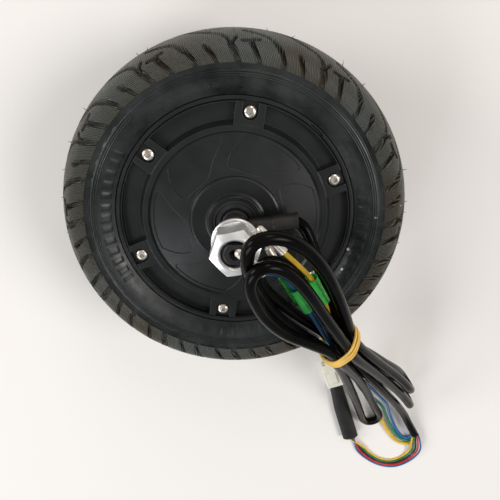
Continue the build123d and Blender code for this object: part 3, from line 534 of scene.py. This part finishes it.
def build_casing(material):
    """Sidewalls and inside of the tyre: fine rings, a smooth band under the tread and rows of raised bars."""
    ribs_from, ribs_to = section.at_radius(SIDE_RIBS[0] - 0.7), section.at_radius(SIDE_RIBS[-1] + 0.5)
    band = section.at_radius(BAND_START_R)
    edge = section.at_radius(TREAD_EDGE_R + 0.6)
    low, high = BAR_RADII
    stops = [0, *map(section.at_radius, (low - BAR_SLOPE, low, high, high + BAR_SLOPE)), ribs_from, ribs_to]
    places = []
    for first, last, count in zip(stops, stops[1:], (6, 3, 5, 3, 3, 27)):
        places += list(np.linspace(first, last, count, endpoint=False))
    places += [*np.linspace(band - 0.5, band + 0.5, 6), *np.linspace(band + 0.9, edge, 5)]
    angles = np.arange(SIDE_STEPS) * 2 * pi / SIDE_STEPS
    turned = np.degrees(angles)
    bar_share = np.zeros(SIDE_STEPS)
    for number, (arc_from, arc_to) in enumerate(BAR_ARCS):
        within = ((turned - arc_from) % 360 < arc_to - arc_from)
        phase = (turned - arc_from) * 2 * pi / BAR_PITCH
        wave = np.cos(phase) + 0.35 * np.cos(phase / 3 + number)
        bar_share = np.maximum(bar_share, within * smooth((wave + 0.1) * 3))
    rows, travel = [], []

    def add_row(distance, side):
        r, _ = section.at(distance)
        lift = sum(RIB_HEIGHT * exp(-((r - ring) / RIB_SIZE) ** 2) for ring in SIDE_RIBS)
        lift -= BAND_DEPTH * float(smooth((r - BAND_START_R + 0.4) / 0.8))
        share = float(smooth((r - low) / BAR_SLOPE + 1) * smooth((high - r) / BAR_SLOPE + 1))
        raised = lift + (BAR_HEIGHT * share * bar_share if side > 0 else np.zeros(SIDE_STEPS))
        rr, zz = section.at(np.full(SIDE_STEPS, distance), raised)
        rows.append((rr, side * zz, angles))
        travel.append(distance if side > 0 else 2 * section.total - distance)

    for distance in places:
        add_row(distance, 1)
    hidden = list(np.linspace(edge + 3.5, section.total, 6))
    for distance, side in [(d, 1) for d in hidden] + [(d, -1) for d in reversed(hidden[:-1])]:
        r, z = section.at(distance, -UNDERSIDE)
        rows.append((np.full(SIDE_STEPS, r), np.full(SIDE_STEPS, side * z), angles))
        travel.append(travel[-1] + 6)
    for distance in reversed(places):
        add_row(distance, -1)
    for r, z in [(r, -z) for r, z in INNER_LINE] + INNER_LINE[-2::-1]:
        rows.append((np.full(SIDE_STEPS, r), np.full(SIDE_STEPS, z), angles))
        travel.append(travel[-1] + 4)
    piece = ring_object("tyre_casing", rows, SIDE_STEPS, material, travel)
    piece.data.set_sharp_from_angle(angle=radians(40))
    return piece


HAIRS = 44
HAIR_SIDES = 5


def build_hairs(material):
    """Moulding hairs left on the crown: thin tapered rubber threads, each bent its own way."""
    chance = np.random.default_rng(7)
    vertices, faces = [], []
    for number in range(HAIRS):
        angle = 2 * pi * (number + chance.uniform(-0.35, 0.35)) / HAIRS
        width = chance.choice((-13.0, -6.0, 0.5, 6.0, 13.0)) + chance.uniform(-1, 1)
        r, z = section.at(section.total - abs(width), 0.0)
        root = Vector((r * cos(angle), r * sin(angle), z if width > 0 else -z))
        outward = Vector((cos(angle), sin(angle), root.z / 60)).normalized()
        sideways = Vector((-sin(angle), cos(angle), 0)) * chance.uniform(-0.7, 0.7) \
            + Vector((0, 0, chance.uniform(-0.4, 0.4)))
        height = chance.uniform(1.2, 3.2)
        first = len(vertices)
        for level in range(4):
            share = level / 3
            centre = root + outward * (height * share - 0.4) + sideways * height * share ** 2
            radius = 0.32 * (1 - 0.75 * share)
            for side in range(HAIR_SIDES):
                a = 2 * pi * side / HAIR_SIDES
                offset = outward.orthogonal().normalized() * cos(a) \
                    + outward.cross(outward.orthogonal()).normalized() * sin(a)
                vertices.append((centre + offset * radius) * MM)
        for level in range(3):
            for side in range(HAIR_SIDES):
                low = first + level * HAIR_SIDES
                other = (side + 1) % HAIR_SIDES
                faces.append((low + side, low + other, low + HAIR_SIDES + other, low + HAIR_SIDES + side))
        faces.append(tuple(first + side for side in reversed(range(HAIR_SIDES))))
        faces.append(tuple(first + 3 * HAIR_SIDES + side for side in range(HAIR_SIDES)))
    mesh = bpy.data.meshes.new("moulding_hairs")
    mesh.from_pydata(vertices, [], faces)
    piece = bpy.data.objects.new("moulding_hairs", mesh)
    bpy.context.scene.collection.objects.link(piece)
    piece.data.materials.append(material)
    return piece


def dust(shader, color, scale, amount):
    """Pale dust specks over a base colour; gives the mixed colour's output."""
    specks = shader.node("ShaderNodeTexVoronoi", Scale=scale, Randomness=1.0)
    shader.links.new(shader.place, specks.inputs["Vector"])
    near = shader.ramp(specks.outputs["Distance"], 1.0, 0.0, 0.05, 0.09)
    rare = shader.ramp(shader.noise(23.0, 2.0), 0.0, 1.0, amount, amount + 0.03)
    both = shader.node("ShaderNodeMath", operation="MULTIPLY")
    shader.links.new(near, both.inputs[0])
    shader.links.new(rare, both.inputs[1])
    mix = shader.node("ShaderNodeMix", data_type="RGBA")
    mix.inputs["B"].default_value = (0.70, 0.68, 0.64, 1)
    shader.links.new(both.outputs["Value"], mix.inputs["Factor"])
    shader.links.new(color, mix.inputs["A"])
    shader.links.new(mix.outputs["Result"], shader.surface.inputs["Base Color"])


def tread_rubber():
    """Rubber of the blocks: brownish bloom, and fine ribs across the tread, with painted shade between the
    ribs and painted highlight on their crests.
    """
    shader = Shader("tread_rubber", (0.02, 0.02, 0.018), 0.5)
    coordinates = shader.node("ShaderNodeUVMap", uv_map="tread")
    ribs = shader.node("ShaderNodeTexWave", Scale=322.0, Distortion=0.6, Detail=1.0)
    ribs.bands_direction = "X"
    shader.links.new(coordinates.outputs["UV"], ribs.inputs["Vector"])
    cloud = shader.tint(shader.noise(24.0, 5.0), (0.058, 0.064, 0.060), (0.050, 0.042, 0.028), 0.4, 0.62)
    # the rib wave scales the colour: darker between the ribs as painted shade, lighter on their crests as
    # painted highlight
    rib_painted_shading = shader.node("ShaderNodeMix", data_type="RGBA", blend_type="MULTIPLY")
    rib_painted_shading.inputs["Factor"].default_value = 0.75
    tone = shader.node("ShaderNodeMix", data_type="RGBA")
    tone.inputs["A"].default_value = (0.1, 0.1, 0.1, 1)
    tone.inputs["B"].default_value = (2.2, 2.2, 2.1, 1)
    shader.links.new(ribs.outputs["Fac"], tone.inputs["Factor"])
    shader.links.new(cloud, rib_painted_shading.inputs["A"])
    shader.links.new(tone.outputs["Result"], rib_painted_shading.inputs["B"])
    dust(shader, rib_painted_shading.outputs["Result"], 110.0, 0.63)
    shader.roughen(shader.noise(70.0, 4.0), 0.36, 0.56)
    fine = shader.bump(ribs.outputs["Fac"], 0.0009, 0.9)
    shader.bump(shader.noise(420.0, 4.0), 0.00025, 0.3, after=fine)
    return shader.material


def casing_rubber():
    """Glossy black sidewall rubber: mottled, with handling marks."""
    shader = Shader("tyre_rubber", (0.01, 0.011, 0.012), 0.34)
    shader.surface.inputs["Specular IOR Level"].default_value = 0.4
    mottle = shader.noise(40.0, 6.0, 0.65)
    color = shader.tint(mottle, (0.003, 0.004, 0.004), (0.020, 0.024, 0.023), 0.38, 0.62)
    dust(shader, color, 80.0, 0.66)
    shader.roughen(shader.noise(85.0, 6.0, 0.7), 0.24, 0.52)
    coarse = shader.bump(shader.noise(60.0, 3.0), 0.0012, 0.35)
    shader.bump(shader.noise(500.0, 4.0), 0.00015, 0.3, after=coarse)
    return shader.material


tread_material = tread_rubber()
for piece in (build_casing(casing_rubber()), build_tread(tread_material), build_hairs(tread_material)):
    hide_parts("tyre")
    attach(piece, ROTOR)

# ------------------------------------------------------------------ finishes of the CAD nodes
paint = satin_paint("black_paint", (0.007, 0.008, 0.008), (0.012, 0.014, 0.013))
screw_steel = metal("screw_steel", (0.74, 0.68, 0.60), 0.30, scratch=900.0)
bright_plate = metal("zinc_chrome", (0.97, 0.97, 0.96), 0.34, scratch=700.0, stretch=(1, 1, 4), metallic=0.75)
FINISHES = {
    "front_cover": paint,
    "rear_cover": paint,
    "hub_shell": paint,
    "front_cover_screws": screw_steel,
    "rear_cover_screws": screw_steel,
    "front_flat_washer": bright_plate,
    "front_spring_washer": bright_plate,
    "front_outer_washer": bright_plate,
    "front_axle_nut": bright_plate,
    "rear_axle_nut": bright_plate,
    "rear_flat_washer": bright_plate,
    "rear_spring_washer": bright_plate,
    "axle": satin_paint("black_oxide", (0.018, 0.018, 0.019), (0.035, 0.034, 0.034), 0.3, 1400.0),
    "cable_sleeve": shrink_material,
    "hall_sleeve": shrink_material,
    "hall_plug": plastic("cream_plastic", (0.94, 0.91, 0.78), 0.4, darker=0.93),
    "hall_contacts": metal("tinned_copper", (0.80, 0.72, 0.62), 0.3),
    "phase_terminals": metal("tinned_copper_bullets", (0.93, 0.86, 0.77), 0.34, bump=0.0001, metallic=0.7),
    "terminal_sleeves": clear_plastic("clear_green", (0.08, 0.85, 0.14), 0.2, 0.35, 0.72),
    "valve_stem": metal("valve_brass", (0.72, 0.56, 0.30), 0.3),
    "valve_cap": plastic("black_plastic", (0.02, 0.02, 0.02), 0.45),
    "inner_tube": plastic("butyl_rubber", (0.02, 0.02, 0.02), 0.6),
}
INNER_FINISHES = {
    "race": metal("bearing_steel", (0.62, 0.62, 0.63), 0.25),
    "balls": metal("ball_steel", (0.8, 0.8, 0.81), 0.08),
    "cage": metal("cage_steel", (0.55, 0.53, 0.5), 0.35),
    "oil_seal": plastic("seal_rubber", (0.012, 0.012, 0.012), 0.5),
    "magnets": metal("magnet_nickel", (0.6, 0.6, 0.61), 0.22),
    "flux_ring": metal("dark_steel", (0.3, 0.3, 0.31), 0.4),
    "insulator": plastic("insulator_green", (0.1, 0.32, 0.18), 0.5),
    "windings": metal("copper_wire", (0.72, 0.33, 0.16), 0.3, scratch=2500.0),
    "stator_core": metal("lamination_steel", (0.35, 0.35, 0.36), 0.45, scratch=2500.0, stretch=(1, 1, 30)),
    "stator_carrier": metal("cast_aluminium", (0.62, 0.62, 0.63), 0.5, bump=0.0001),
    "winding_leads": plastic("lead_sleeve", (0.75, 0.75, 0.72), 0.5),
    "hall_board": plastic("board_green", (0.05, 0.25, 0.1), 0.3),
    "hall_sensors": plastic("sensor_black", (0.02, 0.02, 0.02), 0.45),
    "axle_key": metal("key_steel", (0.3, 0.3, 0.31), 0.4),
    "axle_cable": cable_material,
}
for name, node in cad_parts.items():
    finish = FINISHES.get(name)
    if finish is None:
        finish = next((material for key, material in INNER_FINISHES.items() if key in name), None)
    if finish is not None:
        node.data.materials.clear()
        node.data.materials.append(finish)

# ------------------------------------------------------------------ studio
FLOOR_Z = -57.0 * MM        # under the rear axle nut


def area_light(name, place, target, size, power, color=(1, 1, 1)):
    light = bpy.data.lights.new(name, "AREA")
    light.shape = "DISK"
    light.size = size
    light.energy = power
    light.color = color
    lamp = bpy.data.objects.new(name, light)
    lamp.location = place
    lamp.rotation_euler = (Vector(target) - Vector(place)).to_track_quat("-Z", "Y").to_euler()
    bpy.context.scene.collection.objects.link(lamp)


floor_mesh = bpy.data.meshes.new("floor")
FLOOR_CORNERS = ((-3, -3), (3, -3), (3, 3), (-3, 3))     # metres
floor_mesh.from_pydata([(x, y, FLOOR_Z) for x, y in FLOOR_CORNERS], [], [(0, 1, 2, 3)])
floor = bpy.data.objects.new("floor", floor_mesh)
bpy.context.scene.collection.objects.link(floor)
floor_shader = Shader("floor_paper", (0.79, 0.76, 0.73), 0.75)
floor_shader.bump(floor_shader.noise(300.0, 3.0), 0.0001, 0.2)
floor.data.materials.append(floor_shader.material)

world = bpy.data.worlds.new("studio")
world.use_nodes = True
world.node_tree.nodes["Background"].inputs["Color"].default_value = (0.97, 0.98, 1.0, 1)
world.node_tree.nodes["Background"].inputs["Strength"].default_value = 0.36
bpy.context.scene.world = world
bpy.context.scene.view_settings.view_transform = "Standard"
area_light("window", (-1.0, -1.1, 1.1), (0, -0.05, 0), 0.9, 13.0, (0.94, 0.97, 1.0))
area_light("room", (0.45, 1.5, 1.0), (0, 0, 0), 0.8, 6.5, (1.0, 0.91, 0.78))
area_light("ceiling", (1.4, 0.1, 1.5), (0, 0, 0), 1.0, 22.0, (1.0, 0.98, 0.95))
area_light("side", (-1.5, 0.3, 0.7), (0, 0, 0), 0.8, 12.5, (1.0, 0.99, 0.97))
